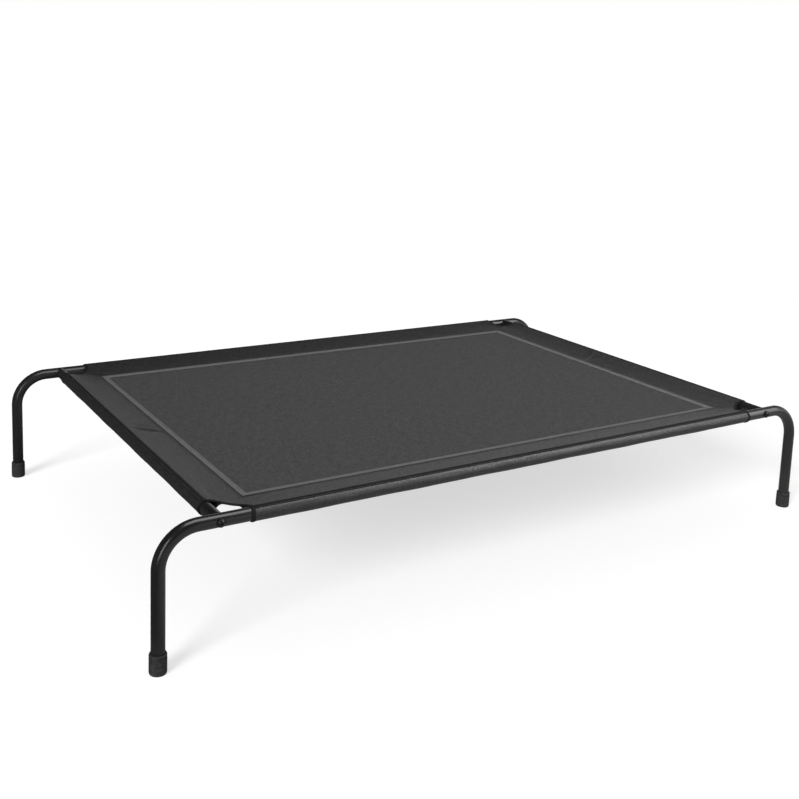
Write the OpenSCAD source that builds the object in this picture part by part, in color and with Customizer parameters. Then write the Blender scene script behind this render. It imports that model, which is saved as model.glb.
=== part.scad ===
// Raised dog cot: a knock-down steel tube frame with a sleeved mesh sling.
// Origin: centre of the footprint on the floor. +X runs along the long side, +Y to the rear, +Z up.

/* [Overall size] */
// Length over the leg tubes
cot_length = 1245; // [900:5:1500]
// Width over the leg tubes
cot_width = 800; // [560:5:1000]
// Height from the floor to the top of the rail tubes
cot_height = 203; // [150:1:300]

/* [Tubes] */
// Outside diameter of every frame tube
tube_d = 19; // [16:0.5:22]
// Wall of the frame tubes
tube_wall = 1.2; // [0.8:0.1:2]
// Bend radius of a leg, at the tube's axis
bend_r = 54; // [40:1:70]
// Distance from a leg's axis to the end rail's axis
end_rail_inset = 82; // [76:1:120]
// Length of a leg's arm past the end rail's axis
arm_reach = 110; // [60:1:200]
// Length of the reduced spigot at each end of a long rail
spigot_length = 50; // [20:1:80]
// Length of the taper between long rail and spigot
swage_length = 3; // [1:0.5:8]
// Radial gap between a spigot and the leg's arm
spigot_gap = 0.15; // [0.05:0.05:0.4]

/* [Corner joint] */
// Bolt diameter
bolt_d = 6; // [5:1:8]
// Bolt head diameter
bolt_head_d = 10.5; // [9.5:0.1:14]
// Bolt head height
bolt_head_h = 3.3; // [2.7:0.1:4.4]
// Height of the straight rim under the head's dome
bolt_rim_h = 0.6; // [0.3:0.1:1]
// Width across the flats of the bolt's socket
bolt_socket = 4; // [3:0.5:5]
// Depth of the bolt's socket
bolt_socket_depth = 2; // [1:0.1:2.4]
// Length of bolt held by the threaded insert
thread_hold = 18; // [8:0.5:24]
// Diametral play of the bolt in the leg's cross hole and in the washer
bolt_play = 0.6; // [0.2:0.1:1]
// Diameter of the saddle washer
washer_d = 12.5; // [11.5:0.5:15]
// Thickness of the saddle washer over the tube's crown
washer_t = 1.2; // [0.6:0.1:3]
// Length of the threaded insert
insert_length = 26; // [22:1:40]
// Distance from the leg tube to the insert's face
insert_setback = 1.8; // [1:0.1:5]
// Width of each crimp groove round the insert
crimp_width = 2.5; // [1:0.5:4]
// Depth of each crimp groove
crimp_depth = 0.8; // [0.3:0.1:1.5]
// How far the coped end of an end rail stops short of the leg's axis
cope_lip = 4; // [2:0.5:7]
// Gap between a saddled face and the leg tube
seat_gap = 0.1; // [0.05:0.05:0.3]
// Radial gap between the insert and the bore of the end rail, and between bolt and insert
insert_gap = 0.05; // [0.02:0.01:0.2]

/* [Foot caps] */
// Rubber wall round the tube
cap_wall = 2.4; // [1.5:0.1:4]
// Height of a foot cap
cap_height = 28; // [18:1:45]
// Thickness of the sole under the tube
cap_sole = 5; // [3:0.5:10]
// Radius round the sole's edge
cap_edge_r = 2.5; // [1:0.5:4]
// Height of the bead round the cap's mouth
cap_bead_h = 4.5; // [3:0.5:7]
// Height of the groove under the bead
cap_groove_h = 1.2; // [0.6:0.1:3]
// Depth of the groove under the bead
cap_groove_depth = 0.8; // [0.3:0.1:1.2]
// Radial gap between cap and tube
cap_gap = 0.1; // [0.05:0.05:0.3]

/* [Sling] */
// Thickness of one layer of border cloth
cloth_t = 0.9; // [0.5:0.1:1.5]
// Thickness of the centre mesh
mesh_t = 0.8; // [0.5:0.1:1.5]
// Gap between a sleeve and the tube inside it
sleeve_gap = 0.3; // [0.2:0.1:0.8]
// Distance from a rail's axis to the sewn neck of its sleeve
sleeve_neck = 26; // [20:1:36]
// Distance from a rail's axis to the middle of the seam tape
border_width = 65; // [50:1:110]
// Width of the seam tape
tape_width = 8; // [5:0.5:14]
// Thickness of the seam tape
tape_t = 0.6; // [0.3:0.1:1]
// Width of mesh that is sewn under the border
mesh_lap = 10; // [4:1:14]
// Radius of the cut-out at each corner of the sling
corner_cut_r = 46; // [38:1:60]
// Width of the binding along a corner cut-out
binding_width = 6; // [4:0.5:12]
// Thickness of the binding
binding_t = 0.6; // [0.3:0.1:1]

/* [Hidden] */
$fn = 64;
hex_sides = 6;
// Overrun of a cutting solid past the face that it opens
cut_over = 1;

tube_r = tube_d / 2;
bore_r = tube_r - tube_wall;
axis_z = cot_height - tube_r;
leg_x = cot_length / 2 - tube_r;
leg_y = cot_width / 2 - tube_r;
end_rail_x = leg_x - end_rail_inset;
joint_x = end_rail_x - arm_reach;
spigot_r = bore_r - spigot_gap;

bolt_hole_r = (bolt_d + bolt_play) / 2;
bolt_seat = tube_r + washer_t;
bolt_length = washer_t + tube_d + insert_setback + thread_hold;
dome_h = bolt_head_h - bolt_rim_h;
dome_r = (pow(bolt_head_d / 2, 2) + dome_h * dome_h) / (2 * dome_h);
bolt_tip_h = bolt_d / 6;

cap_bore_r = tube_r + cap_gap;
cap_r = cap_bore_r + cap_wall;
cap_groove_z = cap_height - cap_bead_h - cap_groove_h;

sleeve_bore_r = tube_r + sleeve_gap;
sleeve_r = sleeve_bore_r + cloth_t;
// Angle above the sling at which the cloth leaves the rail, and steps of the cloth round it
neck_lean = acos(sleeve_r / sleeve_neck);
arc_steps = 30;
border_edge = border_width + tape_width / 2;
tape_edge = border_width - tape_width / 2;
sling_reach = sleeve_r + binding_t + cut_over;

// Corner name, side of X, side of Y
CORNERS = [
    ["front_left", -1, -1],
    ["front_right", 1, -1],
    ["rear_left", -1, 1],
    ["rear_right", 1, 1],
];
// Sides in the order of quarter turns about Z, from the front
SIDES = ["front", "right", "rear", "left"];
CORNER_PIECES = ["leg", "foot_cap", "rail_insert", "saddle_washer", "corner_bolt", "corner_binding"];
SIDE_PIECES = ["rail", "sleeve", "seam_tape"];

// Mirrors a piece drawn for the rear right corner to the corner c.
module at_corner(c) {
    mirror([c[1] < 0 ? 1 : 0, 0, 0])
        mirror([0, c[2] < 0 ? 1 : 0, 0])
            children();
}

// Long sides are the front and the rear, and every other side is a short one.
function is_long(side) = side % 2 == 0;

// Distance of a side's rail from the cot's centre, and half the distance between its two corners.
function rail_offset(side) = is_long(side) ? leg_y : end_rail_x;
function corner_offset(side) = is_long(side) ? end_rail_x : leg_y;

function reversed(points) = [for (i = [len(points) - 1 : -1 : 0]) points[i]];

// Puts a piece drawn along X, with its rail's axis at the origin and the sling at +Y, on a side.
module at_side(side) {
    rotate([0, 0, 90 * side])
        translate([0, -rail_offset(side), axis_z])
            children();
}

// Lays a solid of revolution about Z along Y, at the corner joint, with its base at the leg's axis.
module on_joint_axis() {
    translate([end_rail_x, leg_y, axis_z])
        rotate([-90, 0, 0])
            children();
}

// The leg arm's cylinder, as large as a piece that seats on it needs.
module arm_envelope() {
    translate([end_rail_x, leg_y, axis_z])
        rotate([0, 90, 0])
            cylinder(r = tube_r + seat_gap, h = 4 * tube_d, center = true);
}

// A round bar along a leg: up from the foot, round the bend and in along the arm.
module leg_bar(r, over) {
    translate([leg_x, leg_y, cap_sole - over])
        cylinder(r = r, h = axis_z - bend_r - cap_sole + over);
    translate([leg_x - bend_r, leg_y, axis_z - bend_r])
        rotate([90, 0, 0])
            rotate_extrude(angle = 90)
                translate([bend_r, 0])
                    circle(r = r);
    translate([joint_x - over, leg_y, axis_z])
        rotate([0, 90, 0])
            cylinder(r = r, h = leg_x - bend_r - joint_x + over);
}

// Bent tube: leg, bend and arm in one piece, cross drilled for the corner bolt.
module leg() {
    color("#1d1d1f")
        difference() {
            leg_bar(tube_r, 0);
            leg_bar(bore_r, cut_over);
            on_joint_axis()
                cylinder(r = bolt_hole_r, h = 2 * tube_d, center = true);
        }
}

// Moulded rubber cup with a beaded mouth and a rounded sole.
module foot_cap() {
    color("#242424")
        translate([leg_x, leg_y, 0])
            rotate_extrude()
                difference() {
                    union() {
                        translate([cap_r - cap_edge_r, cap_edge_r])
                            circle(r = cap_edge_r);
                        square([cap_r - cap_edge_r, cap_groove_z]);
                        translate([0, cap_edge_r])
                            square([cap_r, cap_groove_z - cap_edge_r]);
                        square([cap_r - cap_groove_depth, cap_height]);
                        translate([cap_r - cap_bead_h / 2, cap_height - cap_bead_h / 2])
                            circle(d = cap_bead_h);
                    }
                    translate([0, cap_sole])
                        square([cap_bore_r, cap_height]);
                }
}

// Threaded steel plug, crimped into the end of an end rail.
module rail_insert() {
    face = -tube_r - insert_setback;
    plug_r = bore_r - insert_gap;
    color("#8d9094")
        on_joint_axis()
            difference() {
                translate([0, 0, face - insert_length])
                    cylinder(r = plug_r, h = insert_length);
                translate([0, 0, face - insert_length - cut_over])
                    cylinder(r = bolt_d / 2 + insert_gap, h = insert_length + 2 * cut_over);
                for (share = [1 / 3, 2 / 3])
                    translate([0, 0, face - share * insert_length])
                        difference() {
                            cylinder(r = tube_r, h = crimp_width, center = true);
                            cylinder(r = plug_r - crimp_depth, h = crimp_width, center = true);
                        }
            }
}

// Washer with a flat face for the bolt head and a hollow face that sits on the leg's arm.
module saddle_washer() {
    color("#2a2a2c")
        difference() {
            on_joint_axis()
                cylinder(d = washer_d, h = bolt_seat);
            arm_envelope();
            on_joint_axis()
                cylinder(r = bolt_hole_r, h = 2 * bolt_seat);
        }
}

// Button head bolt with a hexagon socket and a bevelled tip.
module corner_bolt() {
    color("#1a1a1b")
        on_joint_axis()
            translate([0, 0, bolt_seat])
                difference() {
                    union() {
                        rotate_extrude()
                            intersection() {
                                square([bolt_head_d / 2, bolt_head_h]);
                                translate([0, bolt_head_h - dome_r])
                                    circle(r = dome_r);
                            }
                        translate([0, 0, bolt_tip_h - bolt_length])
                            cylinder(d = bolt_d, h = bolt_length - bolt_tip_h);
                        translate([0, 0, -bolt_length])
                            cylinder(d1 = bolt_d - 2 * bolt_tip_h, d2 = bolt_d, h = bolt_tip_h);
                    }
                    translate([0, 0, bolt_head_h - bolt_socket_depth])
                        cylinder(d = bolt_socket / cos(180 / hex_sides), h = bolt_head_h, $fn = hex_sides);
                }
}

// Long rail: a tube whose ends are swaged down to plug into the leg arms.
module long_rail() {
    half = [
        [joint_x + spigot_length, spigot_r],
        [joint_x, spigot_r],
        [joint_x - swage_length, tube_r],
    ];
    outer = concat(half, [for (p = reversed(half)) [-p[0], p[1]]]);
    wall = concat(
        [for (p = outer) [p[1], p[0]]],
        [for (p = reversed(outer)) [p[1] - tube_wall, p[0]]]
    );
    color("#1d1d1f")
        rotate([0, 90, 0])
            rotate_extrude()
                polygon(wall);
}

// End rail: a straight tube whose ends are coped to saddle the leg arms.
module end_rail() {
    half_run = leg_y - cope_lip;
    color("#1d1d1f")
        difference() {
            rotate([0, 90, 0])
                cylinder(r = tube_r, h = 2 * half_run, center = true);
            rotate([0, 90, 0])
                cylinder(r = bore_r, h = 2 * half_run + 2 * cut_over, center = true);
            for (side = [-1, 1])
                translate([side * leg_y, 0, 0])
                    rotate([90, 0, 0])
                        cylinder(r = tube_r + seat_gap, h = 2 * tube_d, center = true);
        }
}

// Points round a sleeve of radius r, from its upper tangent over the rail to its lower tangent.
function sleeve_arc(r) = [
    for (i = [0 : arc_steps])
        let (turn = neck_lean + i * (360 - 2 * neck_lean) / arc_steps)
            [r * cos(turn), r * sin(turn)]
];

// Hollow of a sleeve: round the rail and drawn in to its sewn neck.
function sleeve_hollow() = concat(
    sleeve_arc(sleeve_bore_r),
    [[sleeve_bore_r / cos(neck_lean), 0]]
);

// Outside of sleeve and border, grown outwards by grow, from the upper to the lower inner edge.
function border_skin(grow) =
    let (
        r = sleeve_r + grow,
        half_t = cloth_t + grow,
        neck = (r - half_t * sin(neck_lean)) / cos(neck_lean)
    )
    concat(
        [[border_edge, half_t], [neck, half_t]],
        sleeve_arc(r),
        [[neck, -half_t], [border_edge, -half_t]]
    );

// A section carried along a side of half length half_run.
module side_run(half_run) {
    rotate([90, 0, 90])
        linear_extrude(height = 2 * half_run, center = true)
            children();
}

// Plan of one side, mitred at its two corners, from the outside to the distance inner.
module mitred_plan(half_run, outer, inner) {
    translate([0, 0, -sling_reach])
        linear_extrude(height = 2 * sling_reach)
            polygon([
                [-half_run - outer, -outer],
                [half_run + outer, -outer],
                [half_run - inner, inner],
                [inner - half_run, inner],
            ]);
}

// Upright cylinders round the two corners of a side.
module corner_posts(half_run, r) {
    for (side = [-1, 1])
        translate([side * half_run, 0, -2 * sling_reach])
            cylinder(r = r, h = 4 * sling_reach);
}

// Border cloth of one side, with its sleeve round the rail and its corners cut out.
module sleeve(half_run) {
    color("#343435")
        difference() {
            intersection() {
                side_run(half_run)
                    difference() {
                        polygon(border_skin(0));
                        polygon(sleeve_hollow());
                    }
                mitred_plan(half_run, sling_reach, border_edge);
            }
            corner_posts(half_run, corner_cut_r);
        }
}

// The skin of sleeve and border on one side, as thick as the binding, near the corner at +X.
module binding_skin(half_run) {
    reach = corner_cut_r + binding_width + cut_over;
    intersection() {
        translate([half_run - reach / 2, 0, 0])
            side_run(reach / 2)
                polygon(concat(border_skin(binding_t), reversed(border_skin(0))));
        mitred_plan(half_run, sling_reach, border_edge);
    }
}

// Binding along one corner cut-out, over and under both sleeves that meet there.
module corner_binding() {
    color("#161617")
        intersection() {
            union() {
                translate([0, leg_y, axis_z])
                    mirror([0, 1, 0])
                        binding_skin(end_rail_x);
                translate([end_rail_x, 0, axis_z])
                    rotate([0, 0, 90])
                        binding_skin(leg_y);
            }
            translate([end_rail_x, leg_y, axis_z - sling_reach])
                difference() {
                    cylinder(r = corner_cut_r + binding_width, h = 2 * sling_reach);
                    translate([0, 0, -cut_over])
                        cylinder(r = corner_cut_r, h = 2 * sling_reach + 2 * cut_over);
                }
        }
}

// Flat tape over the seam between border and mesh, mitred at its corners.
module seam_tape(half_run) {
    color("#6a6a6b")
        translate([0, 0, cloth_t])
            linear_extrude(height = tape_t)
                polygon([
                    [tape_edge - half_run, tape_edge],
                    [half_run - tape_edge, tape_edge],
                    [half_run - border_edge, border_edge],
                    [border_edge - half_run, border_edge],
                ]);
}

// Centre panel of open mesh, lapped under the border all round.
module mesh_panel() {
    lap_x = end_rail_x - border_edge + mesh_lap;
    lap_y = leg_y - border_edge + mesh_lap;
    color("#3f3f40")
        translate([-lap_x, -lap_y, axis_z - cloth_t - mesh_t])
            cube([2 * lap_x, 2 * lap_y, mesh_t]);
}

// The part of the given name for one corner.
module corner_piece(name) {
    if (name == "leg") leg();
    if (name == "foot_cap") foot_cap();
    if (name == "rail_insert") rail_insert();
    if (name == "saddle_washer") saddle_washer();
    if (name == "corner_bolt") corner_bolt();
    if (name == "corner_binding") corner_binding();
}

// The part of the given name for one side.
module side_piece(name, side) {
    if (name == "rail" && is_long(side)) long_rail();
    if (name == "rail" && !is_long(side)) end_rail();
    if (name == "sleeve") sleeve(corner_offset(side));
    if (name == "seam_tape") seam_tape(corner_offset(side));
}

for (p = CORNER_PIECES)
    for (c = CORNERS)
        at_corner(c) corner_piece(p);
for (p = SIDE_PIECES)
    for (side = [0 : len(SIDES) - 1])
        at_side(side) side_piece(p, side);
mesh_panel();
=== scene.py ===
import math

import bpy
import mathutils
import numpy as np
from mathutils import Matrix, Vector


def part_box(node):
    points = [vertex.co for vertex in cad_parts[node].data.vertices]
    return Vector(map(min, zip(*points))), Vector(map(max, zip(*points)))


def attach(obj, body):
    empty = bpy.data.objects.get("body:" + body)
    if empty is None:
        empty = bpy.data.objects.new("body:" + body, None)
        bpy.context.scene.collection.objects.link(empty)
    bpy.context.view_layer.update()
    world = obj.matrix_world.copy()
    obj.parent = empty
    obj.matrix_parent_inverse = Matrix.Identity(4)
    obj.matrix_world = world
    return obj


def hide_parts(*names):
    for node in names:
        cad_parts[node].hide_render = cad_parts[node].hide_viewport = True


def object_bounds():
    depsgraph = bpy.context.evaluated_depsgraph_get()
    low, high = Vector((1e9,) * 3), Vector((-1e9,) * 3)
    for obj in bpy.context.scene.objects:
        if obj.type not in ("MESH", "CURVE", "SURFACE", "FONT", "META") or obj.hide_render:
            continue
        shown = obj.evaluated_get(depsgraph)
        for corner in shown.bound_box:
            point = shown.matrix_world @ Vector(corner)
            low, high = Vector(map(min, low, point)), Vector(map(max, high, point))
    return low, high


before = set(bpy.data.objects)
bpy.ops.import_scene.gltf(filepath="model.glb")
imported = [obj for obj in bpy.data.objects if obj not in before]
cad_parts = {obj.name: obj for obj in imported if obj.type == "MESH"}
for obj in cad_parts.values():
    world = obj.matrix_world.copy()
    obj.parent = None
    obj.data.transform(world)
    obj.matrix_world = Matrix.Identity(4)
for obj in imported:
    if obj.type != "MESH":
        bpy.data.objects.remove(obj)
cadLow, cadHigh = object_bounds()
print("frame:", len(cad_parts), "nodes")
mm = 0.001


# Sizes read from the frame, in metres
def boxOf(node):
    low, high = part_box(node)
    return np.array(low), np.array(high)


railLow, railHigh = boxOf("rail_front")
endLow, endHigh = boxOf("rail_left")
sleeveLow, sleeveHigh = boxOf("sleeve_front")
meshLow, meshHigh = boxOf("mesh_panel")
tapeLow = boxOf("seam_tape_front")[0]
soleZ = boxOf("foot_cap_front_left")[0][2]

axisZ = (railLow[2] + railHigh[2]) / 2            # height of every rail's axis
cornerX = -(endLow[0] + endHigh[0]) / 2           # where the rails' axes cross
cornerY = -(railLow[1] + railHigh[1]) / 2
sleeveRadius = (sleeveHigh[2] - sleeveLow[2]) / 2
borderEdge = sleeveHigh[1] + cornerY              # rail's axis to the border's inner edge
tapeEdge = tapeLow[1] + cornerY                   # rail's axis to the seam tape's outer edge
hemTop = tapeLow[2] - axisZ                       # top of the hem over the rail's axis
cutRadius = (cornerX - sleeveHigh[0]) * math.sqrt(2)     # round cut-out, which ends the sleeve on the mitre

sides = ["front", "right", "rear", "left"]        # quarter turns about Z
corners = {"front_left": (-1, -1), "front_right": (1, -1), "rear_left": (-1, 1), "rear_right": (1, 1)}


# Rail's distance from the middle, and half the distance between its two corners
def sideSizes(side):
    return (cornerY, cornerX) if side % 2 == 0 else (cornerX, cornerY)


# A point t along the rail, u inboard of its axis and w above it, turned a quarter per side about Z
def onSide(side, t, u, w):
    across = u - sideSizes(side)[0]
    c, s = ((1, 0), (0, 1), (-1, 0), (0, -1))[side]
    return np.stack(np.broadcast_arrays(c * t - s * across, s * t + c * across, axisZ + w), axis=-1)


# Smooth step from 0 at low to 1 at high
def ease(value, low, high):
    share = np.clip((value - low) / (high - low), 0, 1)
    return share * share * (3 - 2 * share)


# Sine of a given pitch, moved on by an angle
def wave(value, pitch, shift=0.0):
    return np.sin(value * 2 * math.pi / pitch + shift)


# Length along a row of points, from 0
def runLength(points):
    return np.concatenate([[0], np.cumsum(np.linalg.norm(np.diff(points, axis=0), axis=-1))])


# Unit normals of a grid: cross product of its two central differences
def gridNormals(points):
    normal = np.cross(np.gradient(points, axis=0), np.gradient(points, axis=1))
    return normal / np.maximum(np.linalg.norm(normal, axis=-1, keepdims=True), 1e-12)


# Quads of a grid of rows by columns, closed in either direction where asked
def gridQuads(rows, columns, loopRows=False, loopColumns=False):
    row = np.arange(rows - (not loopRows))
    column = np.arange(columns - (not loopColumns))
    i, j = np.meshgrid(row, column, indexing="ij")
    iNext, jNext = (i + 1) % rows, (j + 1) % columns
    quads = [i * columns + j, iNext * columns + j, iNext * columns + jNext, i * columns + jNext]
    return np.stack(quads, axis=-1).reshape(-1, 4)


# A sheet with thickness: the grid, its copy moved back along the normals, and quads round the rim
def slab(points, thick, uv):
    rows, columns = points.shape[:2]
    back = points - thick * gridNormals(points)
    count = rows * columns
    index = np.arange(count).reshape(rows, columns)
    rim = np.concatenate([index[:, 0], index[-1, 1:], index[-2::-1, -1], index[0, -2:0:-1]])
    following = np.roll(rim, -1)
    front = gridQuads(rows, columns)
    wall = np.stack([rim, rim + count, following + count, following], axis=-1)
    vertices = np.concatenate([points.reshape(-1, 3), back.reshape(-1, 3)])
    faces = np.concatenate([front, front[:, ::-1] + count, wall])
    return vertices, faces, np.concatenate([uv.reshape(-1, 2)] * 2)


def addObject(name, data):
    thing = bpy.data.objects.new(name, data)
    bpy.context.scene.collection.objects.link(thing)
    return thing


# Puts vertices, faces and a map in metres into a mesh that rides on the frame, turned outwards
def makePiece(name, parts, material, nodes=()):
    vertices, faces, uv, start = [], [], [], 0
    for points, quads, flat in parts:
        vertices.append(points)
        faces.append(quads + start)
        uv.append(flat)
        start += len(points)
    vertices, faces, uv = (np.concatenate(rows) for rows in (vertices, faces, uv))
    a, b, c = (vertices[faces[:, k]] for k in (0, 1, 2))
    volume = (a * np.cross(b, c)).sum()
    if faces.shape[1] == 4:
        volume += (a * np.cross(c, vertices[faces[:, 3]])).sum()
    if volume < 0:
        faces = faces[:, ::-1]
    mesh = bpy.data.meshes.new(name)
    mesh.from_pydata(vertices.tolist(), [], faces.tolist())
    layer = mesh.uv_layers.new(name="cloth")
    layer.data.foreach_set("uv", uv[faces.ravel()].astype(np.float32).ravel())
    mesh.shade_smooth()
    piece = addObject(name, mesh)
    piece.data.materials.append(material)
    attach(piece, "root")
    if nodes:
        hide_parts(*nodes)
    return piece


# Links a socket to another one, or sets it to a fixed value
def plug(tree, socket, value):
    if isinstance(value, bpy.types.NodeSocket):
        tree.links.new(value, socket)
    else:
        socket.default_value = value


# A node with its settings, then its inputs by name or number
def addNode(tree, kind, values=None, **settings):
    node = tree.nodes.new(kind)
    for key, value in settings.items():
        setattr(node, key, value)
    for key, value in (values or {}).items():
        plug(tree, node.inputs[key], value)
    return node


def calc(tree, operation, first, second=0.0, third=0.0, clamp=False):
    values = {0: first, 1: second, 2: third}
    return addNode(tree, "ShaderNodeMath", values, operation=operation, use_clamp=clamp).outputs[0]


# A value carried from one range to another, clamped
def remap(tree, value, low, high, newLow, newHigh, smooth=False):
    kind = "SMOOTHSTEP" if smooth else "LINEAR"
    values = {"Value": value, "From Min": low, "From Max": high, "To Min": newLow, "To Max": newHigh}
    return addNode(tree, "ShaderNodeMapRange", values, interpolation_type=kind).outputs["Result"]


# Ranges that most of a noise lies in, to cut masks from
noiseWide = (0.3, 0.7)
noiseMost = (0.35, 0.65)
noiseMiddle = (0.4, 0.6)


def noise(tree, place, scale, detail):
    values = {"Vector": place, "Scale": scale, "Detail": detail}
    return addNode(tree, "ShaderNodeTexNoise", values).outputs[0]


def blendColour(tree, share, first, second):
    return addNode(tree, "ShaderNodeMix", {0: share, 6: first, 7: second}, data_type="RGBA").outputs[2]


def grey(value, warmth=0.0):
    return (value * (1 + warmth), value, value * (1 - warmth), 1)


def objectPlace(tree):
    return addNode(tree, "ShaderNodeTexCoord").outputs["Object"]


def bump(tree, height, distance):
    values = {"Height": height, "Distance": distance, "Strength": 1.0}
    return addNode(tree, "ShaderNodeBump", values).outputs[0]


# A node group whose sockets are plain values, apart from one named Vector
def newGroup(name, inputs, outputs):
    tree = bpy.data.node_groups.new(name, "ShaderNodeTree")
    for direction, socketNames in (("INPUT", inputs), ("OUTPUT", outputs)):
        for socketName in socketNames:
            kind = "NodeSocketVector" if socketName == "Vector" else "NodeSocketFloat"
            tree.interface.new_socket(socketName, in_out=direction, socket_type=kind)
    return tree, addNode(tree, "NodeGroupInput").outputs, addNode(tree, "NodeGroupOutput")


def useGroup(tree, group, values):
    return addNode(tree, "ShaderNodeGroup", values, node_tree=group).outputs


# The emptied node tree of a material or a world
def emptyTree(owner):
    owner.use_nodes = True
    owner.node_tree.nodes.clear()
    return owner.node_tree


# A material of one shader, with its fixed values
def newMaterial(name, constants):
    material = bpy.data.materials.new(name)
    tree = emptyTree(material)
    shader = addNode(tree, "ShaderNodeBsdfPrincipled", constants)
    addNode(tree, "ShaderNodeOutputMaterial", {"Surface": shader.outputs[0]})
    return material, tree, shader


# Links to a shader's sockets, with _ for the blank in their names
def feed(tree, shader, **sources):
    for key, source in sources.items():
        tree.links.new(source, shader.inputs[key.replace("_", " ")])


# Changes per metre along and across a yarn
yarnNoise = {
    "Slub": (60, 420),          # thick and thin, for the colour
    "Cockle": (130, 900),       # tight and slack, for the height
    "Fleck": (240, 1000),       # short floats that catch the light or not
}


# Mean of two noises, one drawn out along the warp and one along the weft
def unevenYarns(tree, flat, along, across):
    drawn = []
    for scale in ((along, across, 1), (across, along, 1)):
        stretched = addNode(tree, "ShaderNodeMapping", {"Vector": flat, "Scale": scale}).outputs[0]
        drawn.append(noise(tree, stretched, 1.0, 2.0))
    return calc(tree, "MULTIPLY", calc(tree, "ADD", drawn[0], drawn[1]), 0.5)


# Plain weave: p = sin(a) sin(b) says which yarn is on top, and the height is the higher of
# |sin a| (1 + p) / 2 for the warp and |sin b| (1 - p) / 2 for the weft
def weaveGroup():
    inputs = ["Vector", "Warp Pitch", "Weft Pitch", "Opening"]
    tree, given, out = newGroup("plainWeave", inputs, ["Height", "PitShade", "Slub", "Cockle", "Fleck"])
    split = addNode(tree, "ShaderNodeSeparateXYZ", {0: given["Vector"]}).outputs
    sines = []
    for axis, pitch in (("X", "Warp Pitch"), ("Y", "Weft Pitch")):
        turns = calc(tree, "DIVIDE", split[axis], given[pitch])
        sines.append(calc(tree, "SINE", calc(tree, "MULTIPLY", turns, math.pi)))
    over = calc(tree, "MULTIPLY", sines[0], sines[1])
    yarns = []
    for sine, sign in zip(sines, (0.5, -0.5)):
        onTop = calc(tree, "MULTIPLY_ADD", over, sign, 0.5)
        yarns.append(calc(tree, "MULTIPLY", calc(tree, "ABSOLUTE", sine), onTop))
    height = calc(tree, "MAXIMUM", yarns[0], yarns[1])
    # The gaps between the yarns, which the cloth darkens as painted shade
    pitShade = calc(tree, "SUBTRACT", 1.0, calc(tree, "DIVIDE", height, given["Opening"]), clamp=True)
    results = {"Height": height, "PitShade": pitShade}
    for name, (along, across) in yarnNoise.items():
        results[name] = unevenYarns(tree, given["Vector"], along, across)
    results["Fleck"] = remap(tree, results["Fleck"], *noiseMiddle, -1.0, 1.0)
    for name, value in results.items():
        tree.links.new(value, out.inputs[name])
    return tree


# Handling marks: broad clouds times fine specks, 0 where the finish is clean
dustMarks = {"cloudScale": 9.0, "cloudRange": (0.4, 0.75), "speckScale": 420.0, "speckRange": (0.55, 0.75)}


def dustGroup():
    tree, given, out = newGroup("handlingDust", ["Vector", "Amount"], ["Dust", "Cloud"])
    cloud = noise(tree, given["Vector"], dustMarks["cloudScale"], 3.0)
    speck = noise(tree, given["Vector"], dustMarks["speckScale"], 2.0)
    clouded = remap(tree, cloud, *dustMarks["cloudRange"], 0, 1)
    specked = remap(tree, speck, *dustMarks["speckRange"], 0, 1)
    marks = calc(tree, "MULTIPLY", clouded, specked)
    tree.links.new(calc(tree, "MULTIPLY", marks, given["Amount"]), out.inputs["Dust"])
    tree.links.new(cloud, out.inputs["Cloud"])
    return tree


# Sprayed and baked coat: rounded cells of an orange peel plus a share of a finer grain
coatPeel = {"finer": 4.0, "grainShare": 0.15}


def coatGroup():
    tree, given, out = newGroup("coatPeel", ["Vector", "Cell"], ["Height", "Grain"])
    peel = noise(tree, given["Vector"], given["Cell"], 1.0)
    fine = calc(tree, "MULTIPLY", given["Cell"], coatPeel["finer"])
    grain = noise(tree, given["Vector"], fine, 2.0)
    height = calc(tree, "MULTIPLY_ADD", grain, coatPeel["grainShare"], peel)
    tree.links.new(height, out.inputs["Height"])
    tree.links.new(grain, out.inputs["Grain"])
    return tree


weave, dust, coat = weaveGroup(), dustGroup(), coatGroup()

# Shared tones: the painted shade in the gaps between yarns, dust, and the weave height from which the crowns
# get a painted highlight
clothTones = {"pitShade": grey(0.004), "dust": grey(0.16, 0.03), "crownFrom": 0.3}


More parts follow.
